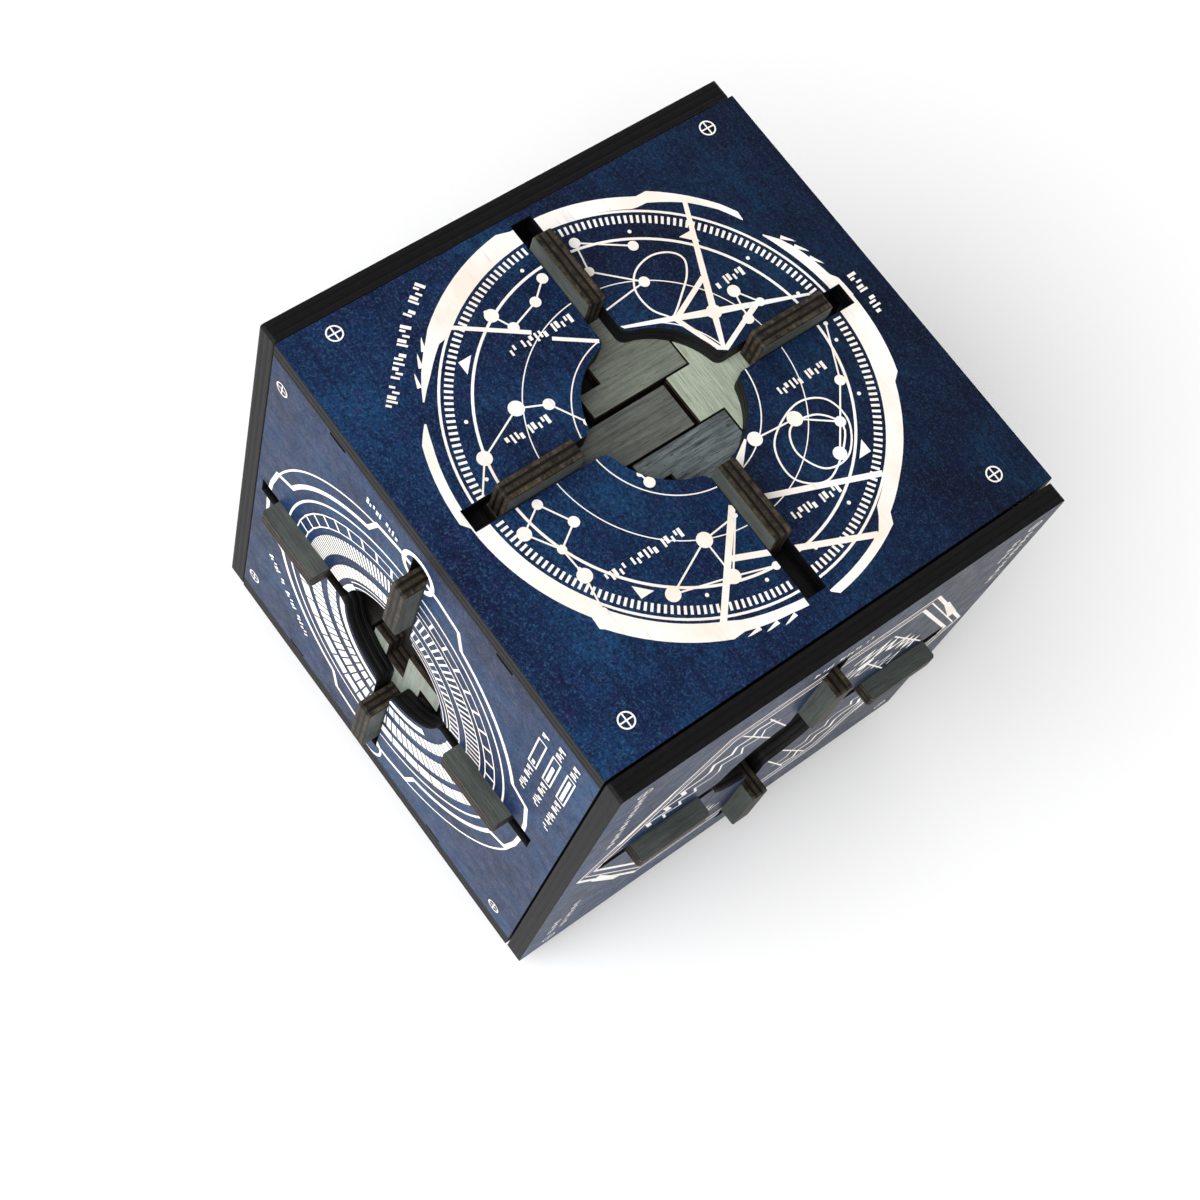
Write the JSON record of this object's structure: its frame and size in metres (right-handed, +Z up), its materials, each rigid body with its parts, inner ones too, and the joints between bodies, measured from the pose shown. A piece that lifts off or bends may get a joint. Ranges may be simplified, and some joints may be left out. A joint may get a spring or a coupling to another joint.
{
  "type": "sequence puzzle box",
  "caption": "Cube-shaped plywood puzzle box whose printed faces each carry a finger hole and crossed slots with sliding fins, around a closed compartment with a pull-off lid.",
  "frame": {"origin": "on the resting plane, below the middle of the cube", "axes": "+Z up, -Y to the front panel, +X to the lid"},
  "size_m": [0.1238, 0.1238, 0.1238],
  "materials": {
    "printed_panel": "satin navy print on laser-cut plywood, dark sawn edges",
    "fin_ply": "grey stained plywood, glue lines showing on the top edge",
    "plate_ply": "grey-green stained plywood with open grain",
    "guide_ply": "dark stained plywood",
    "inner_ply": "near-black stained plywood"
  },
  "bodies": {
    "box": {"top_panel": "printed_panel", "bottom_panel": "printed_panel", "front_panel": "printed_panel", "back_panel": "printed_panel", "left_panel": "printed_panel", "guide_blocks": "guide_ply", "inner_floor_and_ceiling": "inner_ply", "inner_side_walls": "inner_ply", "inner_end_wall": "inner_ply"},
    "lid": {"lid_panel": "printed_panel", "lid_guide_blocks": "guide_ply", "lid_plug_board": "inner_ply"},
    "top_right_slider": {"top_right_plate": "plate_ply", "top_right_fin": "fin_ply"},
    "top_back_slider": {"top_back_plate": "plate_ply", "top_back_fin": "fin_ply"},
    "top_left_slider": {"top_left_plate": "plate_ply", "top_left_fin": "fin_ply"},
    "top_front_slider": {"top_front_plate": "plate_ply", "top_front_fin": "fin_ply"},
    "front_right_slider": {"front_right_plate": "plate_ply", "front_right_fin": "fin_ply"},
    "front_top_slider": {"front_top_plate": "plate_ply", "front_top_fin": "fin_ply"},
    "front_left_slider": {"front_left_plate": "plate_ply", "front_left_fin": "fin_ply"},
    "front_bottom_slider": {"front_bottom_plate": "plate_ply", "front_bottom_fin": "fin_ply"},
    "lid_back_slider": {"lid_back_plate": "plate_ply", "lid_back_fin": "fin_ply"},
    "lid_top_slider": {"lid_top_plate": "plate_ply", "lid_top_fin": "fin_ply"},
    "lid_front_slider": {"lid_front_plate": "plate_ply", "lid_front_fin": "fin_ply"},
    "lid_bottom_slider": {"lid_bottom_plate": "plate_ply", "lid_bottom_fin": "fin_ply"},
    "left_front_slider": {"left_front_plate": "plate_ply", "left_front_fin": "fin_ply"},
    "left_top_slider": {"left_top_plate": "plate_ply", "left_top_fin": "fin_ply"},
    "left_back_slider": {"left_back_plate": "plate_ply", "left_back_fin": "fin_ply"},
    "left_bottom_slider": {"left_bottom_plate": "plate_ply", "left_bottom_fin": "fin_ply"},
    "back_left_slider": {"back_left_plate": "plate_ply", "back_left_fin": "fin_ply"},
    "back_top_slider": {"back_top_plate": "plate_ply", "back_top_fin": "fin_ply"},
    "back_right_slider": {"back_right_plate": "plate_ply", "back_right_fin": "fin_ply"},
    "back_bottom_slider": {"back_bottom_plate": "plate_ply", "back_bottom_fin": "fin_ply"},
    "bottom_right_slider": {"bottom_right_plate": "plate_ply", "bottom_right_fin": "fin_ply"},
    "bottom_front_slider": {"bottom_front_plate": "plate_ply", "bottom_front_fin": "fin_ply"},
    "bottom_left_slider": {"bottom_left_plate": "plate_ply", "bottom_left_fin": "fin_ply"},
    "bottom_back_slider": {"bottom_back_plate": "plate_ply", "bottom_back_fin": "fin_ply"}
  },
  "joints": [
    {"name": "lid_pull", "type": "slide", "parent": "box", "child": "lid", "axis": [1, 0, 0], "range_m": [0, 0.06]},
    {"name": "top_right_slide", "type": "slide", "parent": "box", "child": "top_right_slider", "axis": [1, 0, 0], "range_m": [0, 0.012]},
    {"name": "top_back_slide", "type": "slide", "parent": "box", "child": "top_back_slider", "axis": [0, 1, 0], "range_m": [0, 0.007]},
    {"name": "top_left_slide", "type": "slide", "parent": "box", "child": "top_left_slider", "axis": [-1, 0, 0], "range_m": [0, 0.006]},
    {"name": "top_front_slide", "type": "slide", "parent": "box", "child": "top_front_slider", "axis": [0, -1, 0], "range_m": [0, 0.007]},
    {"name": "front_right_slide", "type": "slide", "parent": "box", "child": "front_right_slider", "axis": [1, 0, 0], "range_m": [-0.0075, 0.0065]},
    {"name": "front_top_slide", "type": "slide", "parent": "box", "child": "front_top_slider", "axis": [0, 0, 1], "range_m": [-0.0075, 0.006]},
    {"name": "front_left_slide", "type": "slide", "parent": "box", "child": "front_left_slider", "axis": [-1, 0, 0], "range_m": [-0.0075, 0.006]},
    {"name": "front_bottom_slide", "type": "slide", "parent": "box", "child": "front_bottom_slider", "axis": [0, 0, -1], "range_m": [-0.007, 0.006]},
    {"name": "lid_back_slide", "type": "slide", "parent": "lid", "child": "lid_back_slider", "axis": [0, 1, 0], "range_m": [-0.0075, 0.006]},
    {"name": "lid_top_slide", "type": "slide", "parent": "lid", "child": "lid_top_slider", "axis": [0, 0, 1], "range_m": [-0.0075, 0.007]},
    {"name": "lid_front_slide", "type": "slide", "parent": "lid", "child": "lid_front_slider", "axis": [0, -1, 0], "range_m": [-0.0075, 0.007]},
    {"name": "lid_bottom_slide", "type": "slide", "parent": "lid", "child": "lid_bottom_slider", "axis": [0, 0, -1], "range_m": [-0.007, 0.006]},
    {"name": "left_front_slide", "type": "slide", "parent": "box", "child": "left_front_slider", "axis": [0, -1, 0], "range_m": [0, 0.007]},
    {"name": "left_top_slide", "type": "slide", "parent": "box", "child": "left_top_slider", "axis": [0, 0, 1], "range_m": [0, 0.006]},
    {"name": "left_back_slide", "type": "slide", "parent": "box", "child": "left_back_slider", "axis": [0, 1, 0], "range_m": [0, 0.011]},
    {"name": "left_bottom_slide", "type": "slide", "parent": "box", "child": "left_bottom_slider", "axis": [0, 0, -1], "range_m": [0, 0.0065]},
    {"name": "back_left_slide", "type": "slide", "parent": "box", "child": "back_left_slider", "axis": [-1, 0, 0], "range_m": [-0.0075, 0.006]},
    {"name": "back_top_slide", "type": "slide", "parent": "box", "child": "back_top_slider", "axis": [0, 0, 1], "range_m": [-0.0075, 0.009]},
    {"name": "back_right_slide", "type": "slide", "parent": "box", "child": "back_right_slider", "axis": [1, 0, 0], "range_m": [-0.0075, 0.007]},
    {"name": "back_bottom_slide", "type": "slide", "parent": "box", "child": "back_bottom_slider", "axis": [0, 0, -1], "range_m": [-0.007, 0.006]},
    {"name": "bottom_right_slide", "type": "slide", "parent": "box", "child": "bottom_right_slider", "axis": [1, 0, 0], "range_m": [0, 0.01]},
    {"name": "bottom_front_slide", "type": "slide", "parent": "box", "child": "bottom_front_slider", "axis": [0, -1, 0], "range_m": [0, 0.007]},
    {"name": "bottom_left_slide", "type": "slide", "parent": "box", "child": "bottom_left_slider", "axis": [-1, 0, 0], "range_m": [0, 0.006]},
    {"name": "bottom_back_slide", "type": "slide", "parent": "box", "child": "bottom_back_slider", "axis": [0, 1, 0], "range_m": [0, 0.007]}
  ]
}
